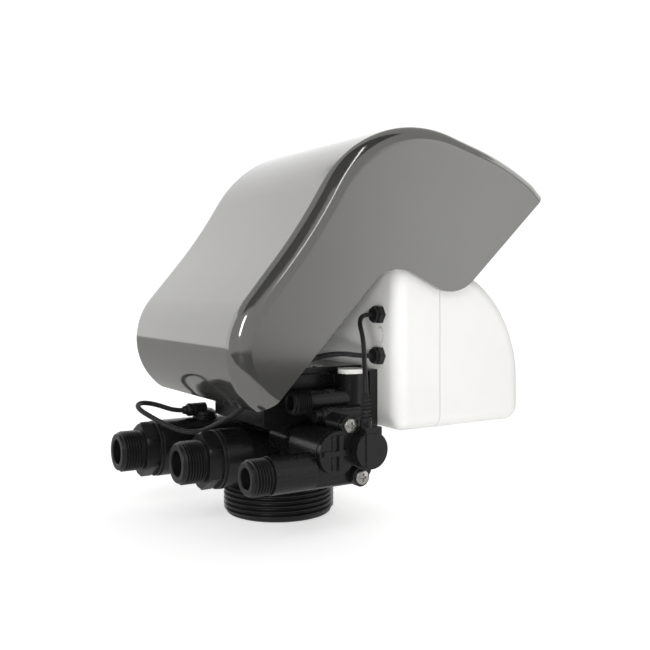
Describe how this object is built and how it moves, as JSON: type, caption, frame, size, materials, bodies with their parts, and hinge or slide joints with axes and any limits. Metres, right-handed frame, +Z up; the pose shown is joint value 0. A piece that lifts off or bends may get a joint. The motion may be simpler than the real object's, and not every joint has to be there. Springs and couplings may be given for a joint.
{
  "type": "water softener valve head",
  "caption": "Motorised control-valve head for a tank-top water softener: glossy grey hood, white control housing and black valve manifold with tank, service, drain and brine threads.",
  "frame": {"origin": "on the axis of the tank thread, in the plane of its lower end", "axes": "+Z up along the tank thread's axis, +Y the way the service ports point, the control panel faces -Y"},
  "size_m": [0.1777, 0.2583, 0.2487],
  "materials": {
    "hood_grey": "gloss",
    "housing_white": "satin",
    "body_black": "satin",
    "soft_black": "matte",
    "screw_zinc": "satin",
    "steel": "satin",
    "gear_plastic": "satin",
    "board_green": "satin",
    "display_clear": "gloss",
    "display_case": "satin",
    "key_grey": "matte",
    "ceramic": "satin",
    "cap_white": "satin",
    "lead_black": "satin",
    "meter_blue": "satin"
  },
  "bodies": {
    "head": {"housing_rear": "housing_white", "housing_front": "housing_white", "housing_screws": "screw_zinc", "display_lens": "display_clear", "display_module": "display_case", "control_board": "board_green", "board_screws": "screw_zinc", "key_switches": "display_case", "cable_glands": "body_black", "gear_plate": "steel", "gear_screws": "screw_zinc", "idler_pin": "steel", "gear_motor": "steel", "sensor_board": "board_green", "stator_disc": "ceramic", "body_cover": "body_black", "body_screws": "screw_zinc", "mounting_screws": "screw_zinc", "shaft_seals": "soft_black", "valve_body": "body_black", "top_gasket": "soft_black", "top_cover": "body_black", "tank_collar": "body_black", "base_seals": "soft_black", "outlet_adapter": "body_black", "inlet_adapter": "body_black", "adapter_seals": "soft_black", "drain_spigot": "body_black", "brine_spigot": "body_black", "meter_cage": "cap_white", "meter_cap": "cap_white", "meter_sensor": "body_black", "brine_cap": "cap_white", "brine_spring": "steel", "check_plug": "body_black", "injector_gasket": "soft_black", "injector_cover": "body_black", "injector_screws": "screw_zinc", "cell_pins": "steel", "injector_nozzle": "gear_plastic", "injector_screen": "cap_white", "cell_plug": "body_black", "cell_boot": "soft_black", "cell_lead": "lead_black", "meter_lead": "lead_black"},
    "hood_body": {"hood": "hood_grey"},
    "drive": {"drive_shaft": "steel", "drive_gear": "gear_plastic", "rotor_disc": "ceramic", "rotor_spring": "soft_black", "position_magnet": "steel", "shaft_clip": "steel"},
    "idler": {"idler_gear": "gear_plastic"},
    "motor_rotor": {"motor_pinion": "steel"},
    "turbine": {"meter_turbine": "meter_blue"},
    "poppet": {"brine_poppet": "cap_white"},
    "down_key": {"key_down": "key_grey"},
    "up_key": {"key_up": "key_grey"},
    "set_key": {"key_set": "key_grey"},
    "start_key": {"key_start": "key_grey"}
  },
  "joints": [
    {"name": "hood_lift", "type": "slide", "parent": "head", "child": "hood_body", "axis": [0, 0, 1], "range_m": [0, 0.17]},
    {"name": "idler_spin", "type": "hinge", "parent": "head", "child": "idler", "pos_m": [0, -0.0535, 0.10005], "axis": [0, 1, 0], "continuous": true},
    {"name": "drive_turn", "type": "hinge", "parent": "head", "child": "drive", "pos_m": [0, -0.0535, 0.07], "axis": [0, 1, 0], "continuous": true},
    {"name": "motor_spin", "type": "hinge", "parent": "head", "child": "motor_rotor", "pos_m": [0.02805, -0.0535, 0.10005], "axis": [0, 1, 0], "continuous": true},
    {"name": "turbine_spin", "type": "hinge", "parent": "head", "child": "turbine", "pos_m": [0.05, 0.031, 0.039], "axis": [0, 1, 0], "continuous": true},
    {"name": "poppet_lift", "type": "slide", "parent": "head", "child": "poppet", "axis": [0, 0, 1], "range_m": [0, 0.003], "stiffness_N_per_m": 60, "springref_m": -0.002, "deforming": ["brine_spring"]},
    {"name": "down_press", "type": "slide", "parent": "head", "child": "down_key", "axis": [0, 0.7071, -0.7071], "range_m": [0, 0.0008], "stiffness_N_per_m": 300, "springref_m": -0.0004},
    {"name": "up_press", "type": "slide", "parent": "head", "child": "up_key", "axis": [0, 0.7071, -0.7071], "range_m": [0, 0.0008], "stiffness_N_per_m": 300, "springref_m": -0.0004},
    {"name": "set_press", "type": "slide", "parent": "head", "child": "set_key", "axis": [0, 0.7071, -0.7071], "range_m": [0, 0.0008], "stiffness_N_per_m": 300, "springref_m": -0.0004},
    {"name": "start_press", "type": "slide", "parent": "head", "child": "start_key", "axis": [0, 0.7071, -0.7071], "range_m": [0, 0.0008], "stiffness_N_per_m": 300, "springref_m": -0.0004}
  ],
  "couplings": [
    {"joint": "drive_turn", "follows": "idler_spin", "ratio": -2.3333},
    {"joint": "motor_spin", "follows": "idler_spin", "ratio": -3}
  ]
}
